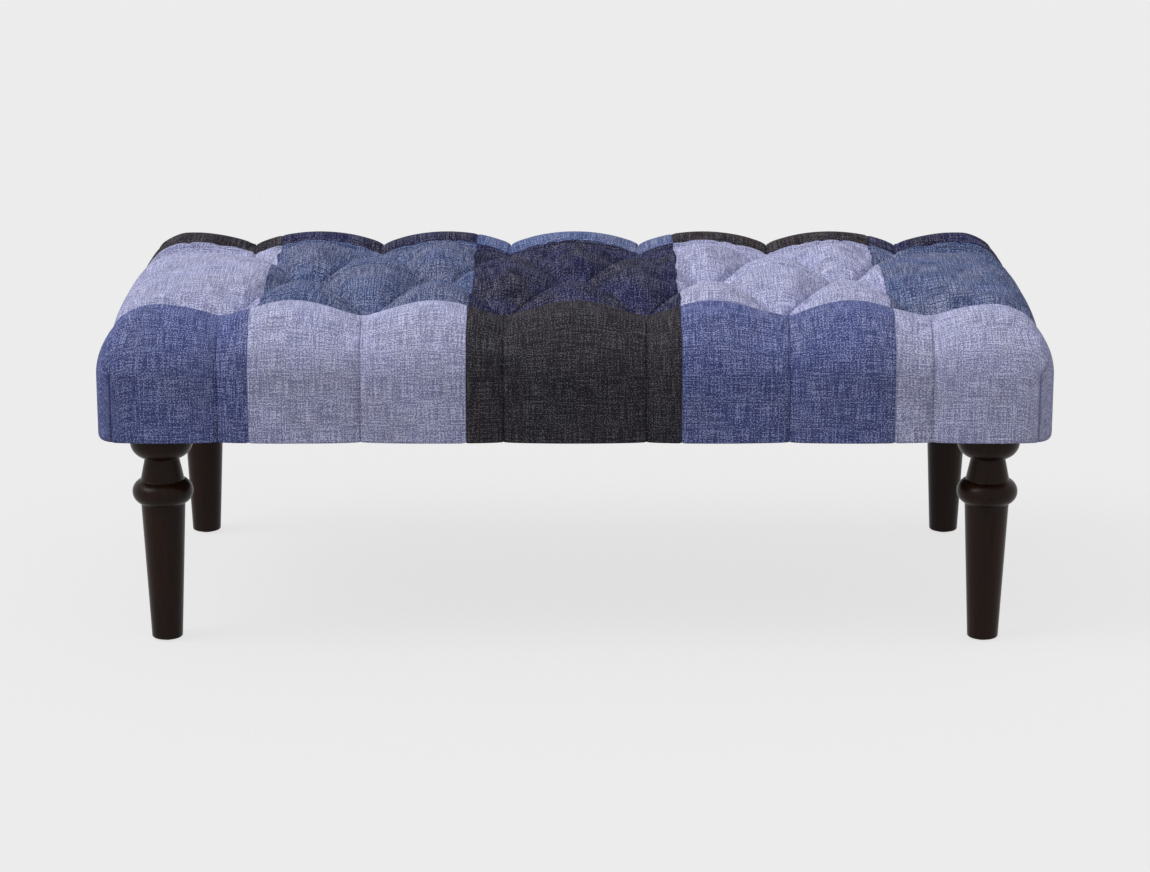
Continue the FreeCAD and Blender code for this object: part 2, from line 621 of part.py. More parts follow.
def build():
    """Every node of the footstool by name."""
    nodes = {}
    nodes.update(cover_patches())
    nodes.update(foam_and_wadding())
    nodes.update(frame_parts())
    nodes["dust_cover"] = dust_cover()
    one_leg, one_glide = leg(), foot_glide()
    for name, sx, sy in corner_names():
        place = Vector(sx * LEG_X, sy * LEG_Y, 0)
        nodes[f"leg_{name}"] = one_leg.translated(place)
        nodes[f"foot_glide_{name}"] = one_glide.translated(place)
        nodes[f"corner_block_{name}"] = corner_block(sx, sy)
    nodes["hanger_bolts"] = at_legs(hanger_bolt())
    nodes["tee_nuts"] = at_legs(tee_nut())
    nodes["rail_dowels"] = Part.Compound([rod(DOWEL_DIAMETER, start, end) for start, end in dowel_places()])
    nodes["corner_block_screws"] = Part.Compound([round_head_screw(*place) for place in block_screw_places()])
    nodes["deck_screws"] = Part.Compound([flush_screw(top, 0.0) for top in deck_screw_places()])
    nodes.update(patch_buttons())
    nodes["tuft_twines"] = at_tufts(tuft_twine())
    nodes["twine_washers"] = at_tufts(twine_washer())
    return nodes


os.makedirs("parts", exist_ok=True)
for node_name, node_shape in build().items():
    node_shape.exportStep(f"parts/{node_name}.step")
    print(node_name, len(node_shape.Solids), "valid" if node_shape.isValid() else "INVALID",
          round(node_shape.Volume))
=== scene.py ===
import math
import bmesh
import bpy
import numpy as np
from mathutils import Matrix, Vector


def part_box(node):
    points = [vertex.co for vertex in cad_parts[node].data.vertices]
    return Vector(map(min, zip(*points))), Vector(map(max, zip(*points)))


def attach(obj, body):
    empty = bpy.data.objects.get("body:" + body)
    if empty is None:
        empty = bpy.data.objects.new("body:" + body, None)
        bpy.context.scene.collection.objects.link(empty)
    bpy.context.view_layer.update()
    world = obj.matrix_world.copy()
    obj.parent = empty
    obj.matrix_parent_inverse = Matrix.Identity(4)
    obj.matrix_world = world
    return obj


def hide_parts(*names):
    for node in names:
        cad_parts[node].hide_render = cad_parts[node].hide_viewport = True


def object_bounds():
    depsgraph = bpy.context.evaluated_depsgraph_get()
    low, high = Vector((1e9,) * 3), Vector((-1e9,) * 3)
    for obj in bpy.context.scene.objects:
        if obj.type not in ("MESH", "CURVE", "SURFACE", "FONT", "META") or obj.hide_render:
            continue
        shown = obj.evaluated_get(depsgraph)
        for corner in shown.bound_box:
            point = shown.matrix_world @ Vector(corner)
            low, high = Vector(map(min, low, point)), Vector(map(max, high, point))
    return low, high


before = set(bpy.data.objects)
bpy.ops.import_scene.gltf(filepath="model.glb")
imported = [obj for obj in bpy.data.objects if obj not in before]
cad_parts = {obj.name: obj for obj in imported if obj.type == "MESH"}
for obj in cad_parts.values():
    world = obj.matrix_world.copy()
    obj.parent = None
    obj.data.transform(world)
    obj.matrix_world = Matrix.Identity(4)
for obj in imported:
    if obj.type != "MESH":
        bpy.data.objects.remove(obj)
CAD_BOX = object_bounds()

# Tufted bench footstool: a diamond-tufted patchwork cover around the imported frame, legs and
# fixings. Sizes are in millimetres until a mesh is made. +Z is up and the front is at -Y.

MM = 0.001
TINY = 1e-6

# Seat sizes from the frame
HALF_LENGTH = CAD_BOX[1].x / MM
HALF_DEPTH = CAD_BOX[1].y / MM
TOP_Z = CAD_BOX[1].z / MM
DUST_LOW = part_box("dust_cover")[0] / MM
DUST_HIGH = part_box("dust_cover")[1] / MM
COVER_BOTTOM_Z = DUST_HIGH.z
DECK_X, DECK_Y, DECK_TOP_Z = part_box("deck_panel")[1] / MM

# Tufting: places along the seat are counted in half pitches from the middle
HALF_PITCH = 91.5
LAST_PLEAT = 5
PLEATS = range(1, LAST_PLEAT + 1, 2)
LAST_PLEAT_X = LAST_PLEAT * HALF_PITCH
OUTER_ROW_Y = 158.0
TUFT_DEPTH = 50.0
TUFT_Z = TOP_Z - TUFT_DEPTH
SWELL = 3.4
FORM_TOP_Z = TOP_Z - SWELL
CREASE_RISE = 13.0
CREASE_SLIT = 2.2
CREASE_SLIT_WIDTH = 3.2
DIAMOND_PUFF = 0.58
PLEAT_DEPTH = 16.6
CREST_DROP = 6.0
CREST_Z = FORM_TOP_Z - CREST_DROP
PLEAT_Z = CREST_Z - PLEAT_DEPTH
PUCKER = 1.1
PUCKER_RADIUS = 20.0
PUCKER_WIDTH = 17.0
PUCKER_FOLDS = ((9, 1.0, 1.7), (14, 0.7, 2.9))

# Pillows between the outer tufts and the crest
FRONT_PUFF = 0.85
PILLOW_RISE = 21.0
PILLOW_STEEPNESS = 3.2
PILLOW_EASE = 0.12
VALLEY_START = 0.9
VALLEY_ROUNDING = 0.34
VALLEY_WIDTH = 28.0
LEAST_ROUNDING = 0.02
BORDER_DIP = 14.0
BORDER_WALL = 8.0
BORDER_FADE = 46.0
BACK_FADE = 80.0
WALL_FABRIC = 8.0

# Pillows at the two ends
END_FULLNESS = 2.8
RIDGE_FULLNESS = 2.0
END_RISE = 0.45
END_PLEAT_POWER = 1.5
END_BLEND_POWER = 4
END_SWELL_POWER = 4
CORNER_SWELL = 15.0
BACK_CORNER_REACH = 1.4

# Rolled edges and sides
ROLL_WIDTH = 77.0
CREST_X = HALF_LENGTH - ROLL_WIDTH
CREST_Y = HALF_DEPTH - ROLL_WIDTH
ROLL_HEIGHT = 85.0
SIDE_TOP_Z = CREST_Z + SWELL - ROLL_HEIGHT
ROLL_ARC = (ROLL_WIDTH + ROLL_HEIGHT) / 2
CORNER_POWER = 5.0
END_ROLL_FULLNESS = 0.36
END_ROLL_FADE = 4
PLEAT_DRAW = 5.0
PLEAT_GROOVE = 3.0
PLEAT_GROOVE_WIDTH = 6.0
PLEAT_GROOVE_START = 2.0
PLEAT_SLIT = 1.8
PLEAT_SLIT_WIDTH = 1.1
FRONT_PLEAT_SPREAD = 0.0135
FRONT_SEAM_DRIFT = 0.0105
PLEAT_SHIFT_REACH = 38.0
BOTTOM_ROUND_UP = 2.5
BOTTOM_ROUND_IN = 2.0
CORNER_ROUND_UP = 8.0
CORNER_ROUND_IN = 5.0
CORNER_ROUND_REACH = 1.4
HEM_LIP = 1.6
TURN_UNDER = 20.0

# Folded corners
FOLD_INSET = 22.0
FOLD_X = HALF_LENGTH - FOLD_INSET
FOLD_TOP_Z = 371.0
FOLD_SLANT = 20.0
FOLD_LEAN = 0.7
FOLD_TOP_FADE = 8.0
FOLD_GROOVE = 1.6
FOLD_GROOVE_WIDTH = 1.2
# Millimetres added to the distance from a corner's fold line, so that its painted shadow is paler
# than the painted shade in the seams
FOLD_SHADOW_PALER = 0.7
FOLD_LAYER = 1.5
FOLD_FADE = 40.0
FOLD_EDGE = 0.1
FOLD_SEEN = 0.5
FOLD_SPACE = 0.02
FOLD_LINES = (-5.0, -2.4, -1.2, -0.6, 0.0, 0.6, 1.2, 2.4, 5.0)

# Patchwork
PATCH_BORDERS = (139.5, 418.5)
SEAM_Y = 204.0
SEAM_DIP = 3.0
SEAM_DIP_WIDTH = 13.0
STITCH_GROOVE = 1.0
STITCH_GROOVE_WIDTH = 1.6
COLUMNS = 5
ROW_NAMES = ("front", "top", "back")
PATCH_SLOTS = {
    "front": ("royal_blue", "lavender", "charcoal", "royal_blue", "lavender"),
    "top": ("lavender", "slate_blue", "navy", "lavender", "slate_blue"),
    "back": ("charcoal", "navy", "denim_blue", "brown_charcoal", "navy"),
}

# Cloth settling
CLOTH_COARSE = 2
CLOTH_FRAMES = 20
CLOTH_QUALITY = 5
CLOTH_MASS = 0.3
CLOTH_STIFFNESS = 15.0
CLOTH_BENDING = 0.2
CLOTH_PRESSURE = 4.0
CLOTH_FULLNESS = 0.03
CLOTH_CAP = 4.0
HELD_CREASE = 0.03
HELD_PLEAT = 0.02
HELD_FOOT = 2.5
HELD_RIM = 0.9
ROUND_VALLEY = 24.0

# Padding and dust cover
PADDING_COARSE = 2
PADDING_GAP = 6.0
PADDING_DROP = 5.0
PADDING_REACH = 1.0
SOFT_CLEARANCE = 0.5
WELD_DISTANCE = 0.02
DUST_LINES = (82, 42)
DUST_SAG = 5.0
DUST_FLATNESS = 4
DUST_ROUND = 40.0
DUST_RIPPLE = 0.25
DUST_RIPPLE_LENGTH = 47.0
DUST_BEND = 2.0
DUST_BEND_LENGTH = 90.0
LEG_CLEARANCE = 48.0

# Mesh density
PITCH_CELLS = 36
PITCH_CROWDING = 0.5
END_CELLS = 26
SEAM_CELLS = 16
CREST_CELLS = 8
ROLL_CELLS = 20
SIDE_ROWS = 20
BOTTOM_ROWS = 8
UNDER_ROWS = 3


# Grid lines

def crowded(cells):
    """Shares from 0 to 1 that lie closer together at both ends."""
    t = np.linspace(0.0, 1.0, cells + 1)
    return t - PITCH_CROWDING * np.sin(2 * np.pi * t) / (2 * np.pi)


def snapped(lines, places):
    """Grid lines with the nearest one moved onto each wanted place."""
    lines = lines.copy()
    for place in places:
        lines[np.argmin(np.abs(lines - place))] = place
    return lines


def mirrored(values):
    """Values from the middle outwards, with their negatives before them."""
    return np.concatenate([-values[:0:-1], values])


def grid_axis(flat, places, coarse, folds):
    """Crest places and roll slopes of one axis' grid lines, over the crest to 45 degrees."""
    flat = snapped(flat, places)
    slopes = np.tan(np.linspace(0.0, np.pi / 4, ROLL_CELLS // coarse + 1))[1:]
    clear = [slope for slope in slopes if np.all(np.abs(slope - folds) > FOLD_SPACE)]
    slopes = np.unique(np.concatenate([clear, folds]))
    crest = np.concatenate([flat, np.full(len(slopes), flat[-1])])
    slope = np.concatenate([np.zeros(len(flat)), slopes])
    return mirrored(crest), mirrored(slope)


def fold_slopes():
    """Roll slopes that put grid lines beside the upright fold of a corner."""
    reach = (FOLD_X - CREST_X + np.array(FOLD_LINES)) / ROLL_WIDTH
    return reach / (1 - reach ** CORNER_POWER) ** (1 / CORNER_POWER)


def column_axis(coarse):
    cells = crowded(PITCH_CELLS // coarse)[:-1]
    pitches = [(k + cells) * HALF_PITCH for k in range(LAST_PLEAT)]
    end = LAST_PLEAT_X + (CREST_X - LAST_PLEAT_X) * crowded(END_CELLS // coarse)
    return grid_axis(np.concatenate(pitches + [end]), PATCH_BORDERS, coarse, fold_slopes())


def row_axis(coarse):
    inner = OUTER_ROW_Y * crowded(PITCH_CELLS // coarse)[:-1]
    to_seam = OUTER_ROW_Y + (SEAM_Y - OUTER_ROW_Y) * crowded(SEAM_CELLS // coarse)[:-1]
    to_crest = np.linspace(SEAM_Y, CREST_Y, CREST_CELLS // coarse + 1)
    return grid_axis(np.concatenate([inner, to_seam, to_crest]), (), coarse, np.array([]))


def fabric_axes(coarse):
    """Distances along the fabric of the top's grid lines, lengthwise and across."""
    axes = (column_axis(coarse), row_axis(coarse))
    return [crest + ROLL_ARC * np.arctan(slope) for crest, slope in axes]


# Seat form

def smooth_min(a, b, width):
    h = np.clip(0.5 + 0.5 * (b - a) / width, 0.0, 1.0)
    return b + (a - b) * h - width * h * (1 - h)


def scallop(u):
    """Swell from a pleat, u = 0, to the middle of a pillow, u = 1."""
    return 1 - (1 - np.clip(u, 0.0, 1.0)) ** 2


def eased(u):
    u = np.clip(u, 0.0, 1.0)
    return u * u * (3 - 2 * u)


def softened(u, softness):
    """u with its corner at 0 rounded off."""
    reach = np.sqrt(1 + softness ** 2) - softness
    return (np.sqrt(u ** 2 + softness ** 2) - softness) / reach


def pleat_share(ax):
    """Distance to the nearest pleat line along the seat: 0 on it, 1 halfway to the next."""
    between = np.abs(np.mod(ax / HALF_PITCH, 2.0) - 1)
    past = np.clip((ax - LAST_PLEAT_X) / (CREST_X - LAST_PLEAT_X), 0.0, 1.0)
    return np.where(ax <= LAST_PLEAT_X, between, past)


def pleat_gap(x):
    """Distance in millimetres along the seat to the nearest pleat line."""
    return np.min([np.abs(np.abs(x) - k * HALF_PITCH) for k in PLEATS], axis=0)


def diamond_height(u, t):
    """Pillow between four tufts, in its own slanted coordinates."""
    p, q = u + t, u - t
    room = np.clip((1 - p ** 2) * (1 - q ** 2), 0.0, 1.0)
    crease = CREASE_RISE * (1 - p ** 2 * q ** 2)
    return TUFT_Z + crease + (FORM_TOP_Z - TUFT_Z - CREASE_RISE) * room ** DIAMOND_PUFF


def pleat_floor(w):
    return TUFT_Z + (PLEAT_Z - TUFT_Z) * scallop(w)


def edge_pillow_height(u, ay, rounding):
    """Pillow between two outer tufts and a middle tuft, up to the crest."""
    t = ay / OUTER_ROW_Y
    w = np.clip((ay - OUTER_ROW_Y) / (CREST_Y - OUTER_ROW_Y), 0.0, 1.0)
    crease = TUFT_Z + CREASE_RISE * 4 * np.clip(t * (1 - t), 0.0, None)
    floor = np.where(t < 1, crease, pleat_floor(w))
    share = ay / CREST_Y
    line = CREST_Z + PILLOW_RISE * (1 - share)
    rise = 1 - (1 - np.clip(share, 0, 1)) ** PILLOW_STEEPNESS
    middle = TUFT_Z + (line - TUFT_Z) * rise
    half = np.maximum(smooth_min(t, np.ones_like(t), PILLOW_EASE), TINY)
    aside = (1 - np.where(t > VALLEY_START, softened(u, rounding), u)) / half
    swell = np.clip(1 - aside ** 2, 0.0, 1.0) ** (FRONT_PUFF + (1 - FRONT_PUFF) * w)
    return floor + (middle - floor) * swell


def end_height(ax, y, rounding):
    """Half pillow and corner pillows past the last pleat."""
    ay, back = np.abs(y), y > 0
    t = ay / OUTER_ROW_Y
    k = np.clip((ax - LAST_PLEAT_X) / (CREST_X - LAST_PLEAT_X), 0.0, 1.0)
    v = np.clip((ay - OUTER_ROW_Y) / (CREST_Y - OUTER_ROW_Y), 0.0, 1.0)
    across = np.clip(t, 0.0, 1.0)
    start = diamond_height(np.zeros_like(t), across)
    full = FORM_TOP_Z - (FORM_TOP_Z - PLEAT_Z) * across ** RIDGE_FULLNESS
    crest = PLEAT_Z + PLEAT_DEPTH * (1 - across ** END_FULLNESS)
    along_pleat = k ** END_PLEAT_POWER
    past_pleat = scallop(np.where(back, BACK_CORNER_REACH * v, v))
    gentle = eased(k / END_RISE)
    blend = gentle + (along_pleat - gentle) * across ** END_BLEND_POWER
    middle = start + (full - start) * blend
    middle = middle + (crest - middle) * eased(2 * k - 1) * (1 - across ** 2)
    rise = along_pleat + past_pleat - along_pleat * past_pleat
    swell = scallop(softened(k, rounding)) * np.where(back, past_pleat, v)
    corner = TUFT_Z + (PLEAT_Z - TUFT_Z) * rise + CORNER_SWELL * swell
    return np.where(t < 1, middle, corner)


def pleat_shift(x, y):
    """Sideways shift at the front: pleats stand further apart than the tufts, and the fabric
    between them sits slightly to the left."""
    front = eased((-y - OUTER_ROW_Y) / (SEAM_Y - OUTER_ROW_Y))
    at_pleat = eased(1 - pleat_gap(x) / PLEAT_SHIFT_REACH)
    drift = np.abs(x) * FRONT_SEAM_DRIFT * (1 - at_pleat)
    drift = np.where(np.abs(x) < LAST_PLEAT_X, drift, 0.0)
    return front * (x * FRONT_PLEAT_SPREAD * at_pleat - drift)


def puckers(x, y):
    """Small folds that run out from each tuft."""
    outer = [(k * HALF_PITCH, side * OUTER_ROW_Y)
             for k in range(-LAST_PLEAT, LAST_PLEAT + 1, 2) for side in (-1, 1)]
    middle = [(k * HALF_PITCH, 0.0) for k in range(1 - LAST_PLEAT, LAST_PLEAT, 2)]
    height = np.zeros_like(x)
    for number, (tx, ty) in enumerate(outer + middle):
        away, turn = np.hypot(x - tx, y - ty), np.arctan2(y - ty, x - tx)
        near = np.exp(-((away - PUCKER_RADIUS) / PUCKER_WIDTH) ** 2)
        near = near * eased(away / PUCKER_RADIUS)
        folds = sum(share * np.sin(count * turn + step * number)
                    for count, share, step in PUCKER_FOLDS)
        height += PUCKER * near * folds
    return height


def border_dip(y):
    """Drop just inside the border seam, where the pillows stay lower than the padded edge."""
    inside = SEAM_Y - np.abs(y)
    fade = np.where(y > 0, BACK_FADE, BORDER_FADE)
    faded = 1 - eased((inside - BORDER_WALL) / fade)
    return BORDER_DIP * eased(inside / BORDER_WALL) * faded


def top_height(x, y):
    """Height of the seat inside the crest and on it."""
    ax, ay = np.abs(x), np.abs(y)
    u, t = pleat_share(ax), ay / OUTER_ROW_Y
    rounding = VALLEY_ROUNDING * np.exp(-((y + SEAM_Y) / VALLEY_WIDTH) ** 2) + LEAST_ROUNDING
    between = np.where(u + t < 1, diamond_height(u, t), edge_pillow_height(u, ay, rounding))
    height = np.where(ax <= LAST_PLEAT_X, between, end_height(ax, y, rounding))
    from_crease = np.abs(u + t - 1) / math.hypot(1 / HALF_PITCH, 1 / OUTER_ROW_Y)
    slit = CREASE_SLIT * np.exp(-(from_crease / CREASE_SLIT_WIDTH) ** 2) * (ax <= LAST_PLEAT_X)
    return height + puckers(x, y) - slit - border_dip(y) * scallop(u)


def edge_swell(x, y):
    """How far a place on the crest is from the pleats: 0 on a pleat, 1 between them."""
    t = np.abs(y) / OUTER_ROW_Y
    past = scallop((np.abs(y) - OUTER_ROW_Y) / (CREST_Y - OUTER_ROW_Y))
    across = np.where(t < 1, 1 - t ** END_SWELL_POWER, past)
    return scallop(pleat_share(np.abs(x))) * across


def roll_share(z):
    """0 at the foot of the roll and below, 1 from the height of the pleats up."""
    return np.clip((z - SIDE_TOP_Z) / (PLEAT_Z - SIDE_TOP_Z), 0.0, 1.0)


def fold_places(points):
    """Distance outwards from the fold line of a corner, and how far the fold shows there."""
    ax, z = np.abs(points[..., 0]), points[..., 2]
    line = FOLD_X + np.clip(z - FOLD_TOP_Z, 0.0, FOLD_SLANT) * FOLD_LEAN
    shown = eased((FOLD_TOP_Z + FOLD_SLANT - z) / FOLD_TOP_FADE)
    return ax - line, shown * (np.abs(points[..., 1]) > CREST_Y)


def folded(points):
    """Points of the front and back faces with the slit and the upper layer of the corner folds."""
    outward, shown = fold_places(points)
    slit = FOLD_GROOVE * np.exp(-(outward / FOLD_GROOVE_WIDTH) ** 2)
    layer = FOLD_LAYER * eased(outward / FOLD_FADE + 1) * (outward < -FOLD_GROOVE_WIDTH / 2)
    points[:, 1] -= np.sign(points[:, 1]) * (shown * (slit - layer))
    return points


def cover_points(x0, y0, sx, sy, sz, drop=0.0, inward=0.0):
    """Points on the crest at x0, y0 or beyond it on the roll, in the direction sx, sy, sz.

    With drop and inward they lie on the side below the roll.
    """
    rim = (np.abs(sx) ** CORNER_POWER + np.abs(sy) ** CORNER_POWER) ** (1 / CORNER_POWER)
    at_end = (np.abs(sx) / np.maximum(rim, TINY)) ** CORNER_POWER
    power = 2 + END_ROLL_FULLNESS * at_end * (1 - (y0 / CREST_Y) ** END_ROLL_FADE)
    size = (rim ** power + sz ** power) ** (1 / power)
    rx, ry, rz = sx / size, sy / size, sz / size
    rolled = np.clip(np.maximum(np.abs(rx), np.abs(ry)) * PLEAT_GROOVE_START, 0.0, 1.0)
    on_end = np.abs(sx) > np.abs(sy)
    near = np.where(on_end, np.abs(np.abs(y0) - OUTER_ROW_Y), pleat_gap(x0))
    groove = PLEAT_GROOVE * np.exp(-near / PLEAT_GROOVE_WIDTH) * rolled
    groove = groove + PLEAT_SLIT * np.exp(-(near / PLEAT_SLIT_WIDTH) ** 2) * rolled
    width = ROLL_WIDTH - PLEAT_DRAW * (1 - edge_swell(x0, y0)) * (1 - rz) - groove
    x = x0 + pleat_shift(x0, y0) + rx * (width - inward)
    y = y0 + ry * (width - inward)
    z = SIDE_TOP_Z + (top_height(x0, y0) - SIDE_TOP_Z) * rz - drop - groove * rz
    return np.stack([x, y, z], axis=-1)


# Cover grid

def rim_loop(nx, ny):
    """Grid places once around the edge of the top."""
    front = [(i, 0) for i in range(nx)]
    right = [(nx - 1, j) for j in range(1, ny)]
    back = [(i, ny - 1) for i in range(nx - 2, -1, -1)]
    left = [(0, j) for j in range(ny - 2, 0, -1)]
    return tuple(np.array(front + right + back + left).T)


def rim_rings(x0, y0, sx, sy, coarse):
    """Rings of points from 45 degrees on the roll down the side and under the frame, and how far
    down the fabric each ring lies."""
    roll_rows, side_rows = ROLL_CELLS // coarse, SIDE_ROWS // coarse
    flat = np.zeros(len(x0))
    at_corner = eased(np.minimum(np.abs(sx), np.abs(sy)) * CORNER_ROUND_REACH)
    round_up = BOTTOM_ROUND_UP + (CORNER_ROUND_UP - BOTTOM_ROUND_UP) * at_corner
    round_in = BOTTOM_ROUND_IN + (CORNER_ROUND_IN - BOTTOM_ROUND_IN) * at_corner
    side = SIDE_TOP_Z - COVER_BOTTOM_Z + HEM_LIP - round_up
    rings, downs = [], []
    for k in range(1, roll_rows + 1):
        angle = np.pi / 4 * (1 - k / roll_rows)
        rings.append(folded(cover_points(x0, y0, sx, sy, flat + np.tan(angle))))
        downs.append(ROLL_ARC * (np.pi / 4 - angle))
    roll_end = downs[-1]
    for k in range(1, side_rows + 1):
        drop = side * k / side_rows
        rings.append(folded(cover_points(x0, y0, sx, sy, flat, drop)))
        downs.append(roll_end + drop)
    side_end = downs[-1]
    for k in range(1, BOTTOM_ROWS + 1):
        angle = np.pi / 2 * k / BOTTOM_ROWS
        drop, inward = side + round_up * np.sin(angle), round_in * (1 - np.cos(angle))
        rings.append(folded(cover_points(x0, y0, sx, sy, flat, drop, inward)))
        downs.append(side_end + 0.5 * (round_up + round_in) * angle)
    for k in range(1, UNDER_ROWS + 1):
        inward = round_in + TURN_UNDER * k / UNDER_ROWS
        rings.append(cover_points(x0, y0, sx, sy, flat, SIDE_TOP_Z - COVER_BOTTOM_Z, inward))
        downs.append(downs[-1] + TURN_UNDER / UNDER_ROWS)
    return rings, downs


def grid_quads(cx, cy, rim, ring_count):
    """Quads of the top and of the rings around it, and the patch that each belongs to."""
    nx, ny, around = len(cx), len(cy), len(rim[0])
    index = np.arange(nx * ny).reshape(nx, ny)
    top = np.stack([index[:-1, :-1], index[1:, :-1], index[1:, 1:], index[:-1, 1:]], axis=-1)
    borders = np.array(PATCH_BORDERS)
    borders = np.concatenate([-borders[::-1], borders])
    column = np.searchsorted(borders, (cx[:-1] + cx[1:]) / 2)
    row = COLUMNS * np.searchsorted(np.array([-SEAM_Y, SEAM_Y]), (cy[:-1] + cy[1:]) / 2)
    quads, patches = [top.reshape(-1, 4)], [np.add.outer(column, row).ravel()]
    around_patch = np.concatenate([column, row + COLUMNS - 1,
                                   2 * COLUMNS + column[::-1], row[::-1]])
    following = np.roll(np.arange(around), -1)
    upper = index[rim]
    for ring in range(ring_count):
        lower = nx * ny + ring * around + np.arange(around)
        quads.append(np.stack([upper, lower, lower[following], upper[following]], axis=-1))
        patches.append(around_patch)
        upper = lower
    return np.concatenate(quads), np.concatenate(patches)


def build_grid(coarse, shift=None):
    """Points, fabric coordinates, quads and patch numbers of the whole cover."""
    cx, tx = column_axis(coarse)
    cy, ty = row_axis(coarse)
    rim = rim_loop(len(cx), len(cy))
    x0, y0 = np.meshgrid(cx, cy, indexing="ij")
    sx, sy = np.meshgrid(tx, ty, indexing="ij")
    top = cover_points(x0, y0, sx, sy, np.ones_like(sx))
    if shift is not None:
        top = top + spread_shift(shift, coarse)
    rings, downs = rim_rings(x0[rim], y0[rim], sx[rim], sy[rim], coarse)
    points = np.concatenate([top.reshape(-1, 3)] + rings)

    s = x0 + ROLL_ARC * np.arctan(sx)
    t = y0 + ROLL_ARC * np.arctan(sy)
    lengthwise, crosswise = np.abs(sx[rim]) ** CORNER_POWER, np.abs(sy[rim]) ** CORNER_POWER
    share = lengthwise / (lengthwise + crosswise)
    fabric = [np.stack([s.ravel(), t.ravel()], axis=-1)]
    for down in downs:
        ring_s = s[rim] + np.sign(sx[rim]) * share * down
        ring_t = t[rim] + np.sign(sy[rim]) * (1 - share) * down
        fabric.append(np.stack([ring_s, ring_t], axis=-1))
    quads, patches = grid_quads(cx, cy, rim, len(rings))
    return points, np.concatenate(fabric), quads, patches


# Meshes

def add_mesh(name, points, quads):
    """Smooth object from points in millimetres and quads."""
    mesh = bpy.data.meshes.new(name)
    mesh.vertices.add(len(points))
    mesh.vertices.foreach_set("co", (points * MM).astype(np.float32).ravel())
    mesh.loops.add(quads.size)
    mesh.loops.foreach_set("vertex_index", quads.astype(np.int32).ravel())
    mesh.polygons.add(len(quads))
    mesh.polygons.foreach_set("loop_start", np.arange(0, quads.size, 4, dtype=np.int32))
    mesh.polygons.foreach_set("use_smooth", np.full(len(quads), True))
    mesh.update(calc_edges=True)
    mesh.validate()
    item = bpy.data.objects.new(name, mesh)
    bpy.context.collection.objects.link(item)
    return item


def vertex_normals(mesh):
    normals = np.empty(len(mesh.vertices) * 3, np.float32)
    mesh.vertex_normals.foreach_get("vector", normals)
    return normals.reshape(-1, 3)


def add_attribute(item, name, values):
    """Values at the points of an object, for its material: numbers or vectors."""
    kind, field = ("FLOAT_VECTOR", "vector") if values.ndim == 2 else ("FLOAT", "value")
    layer = item.data.attributes.new(name, kind, "POINT")
    layer.data.foreach_set(field, values.astype(np.float32).ravel())


def held_places(coarse):
    """Top grid points that stitching holds: tufts, creases, pleats, the back wall and the rim."""
    cx, tx = column_axis(coarse)
    cy, ty = row_axis(coarse)
    x, y = np.meshgrid(cx, cy, indexing="ij")
    slope = np.maximum.outer(np.abs(tx), np.abs(ty))
    u, t = pleat_share(np.abs(x)), np.abs(y) / OUTER_ROW_Y
    inside = np.abs(x) <= LAST_PLEAT_X
    crease = inside & (np.abs(u + t - 1) < HELD_CREASE)
    pleat = inside & (u < HELD_PLEAT) & (t >= 1) & (y > ROUND_VALLEY - SEAM_Y)
    end_pleat = ~inside & (np.abs(t - 1) < HELD_PLEAT)
    foot = (y > 0) & (np.abs(SEAM_Y - BORDER_WALL - y) < HELD_FOOT)
    return (crease | pleat | end_pleat | foot | (slope > HELD_RIM)).ravel()


def settled_shift():
    """How far the top's points move when it swells as cloth that its stitching holds."""
    points, _, quads, _ = build_grid(CLOTH_COARSE)
    along, across = fabric_axes(CLOTH_COARSE)
    shape = (len(along), len(across))
    points = points[:shape[0] * shape[1]]
    sheet = add_mesh("cover_form", points, quads[:(shape[0] - 1) * (shape[1] - 1)])
    group = sheet.vertex_groups.new(name="held")
    group.add(np.flatnonzero(held_places(CLOTH_COARSE)).tolist(), 1.0, "REPLACE")
    cloth = sheet.modifiers.new("cloth", "CLOTH")
    cloth.settings.quality = CLOTH_QUALITY
    cloth.settings.mass = CLOTH_MASS
    cloth.settings.tension_stiffness = CLOTH_STIFFNESS
    cloth.settings.compression_stiffness = CLOTH_STIFFNESS
    cloth.settings.bending_stiffness = CLOTH_BENDING
    cloth.settings.shrink_min = -CLOTH_FULLNESS
    cloth.settings.vertex_group_mass = "held"
    cloth.settings.use_pressure = True
    cloth.settings.uniform_pressure_force = CLOTH_PRESSURE
    cloth.settings.effector_weights.gravity = 0.0
    cloth.collision_settings.use_collision = False
    cloth.collision_settings.use_self_collision = False
    cloth.point_cache.frame_start = 1
    cloth.point_cache.frame_end = CLOTH_FRAMES
    for number in range(1, CLOTH_FRAMES + 1):
        bpy.context.scene.frame_set(number)
    swollen = sheet.evaluated_get(bpy.context.evaluated_depsgraph_get())
    moved = np.empty(points.size, np.float32)
    swollen.data.vertices.foreach_get("co", moved)
    shift = moved.reshape(-1, 3) / MM - points
    bpy.data.objects.remove(sheet)
    bpy.context.scene.frame_set(1)
    length = np.linalg.norm(shift, axis=1, keepdims=True)
    shift = shift * np.minimum(1.0, CLOTH_CAP / np.maximum(length, TINY))
    # The sewn front seam rises evenly
    sewn = np.exp(-((across + SEAM_Y) / VALLEY_WIDTH) ** 2)[None, :, None]
    return shift.reshape(shape + (3,)) * (1 - sewn) + np.array([0.0, 0.0, SWELL]) * sewn


def spread_shift(shift, coarse):
    """The cloth grid's shift at the points of another grid."""
    along, across = fabric_axes(CLOTH_COARSE)
    to_along, to_across = fabric_axes(coarse)
    spread = []
    for part in np.moveaxis(shift, -1, 0):
        rows = np.stack([np.interp(to_along, along, line) for line in part.T])
        spread.append([np.interp(to_across, across, line) for line in rows.T])
    return np.stack(spread, axis=-1)


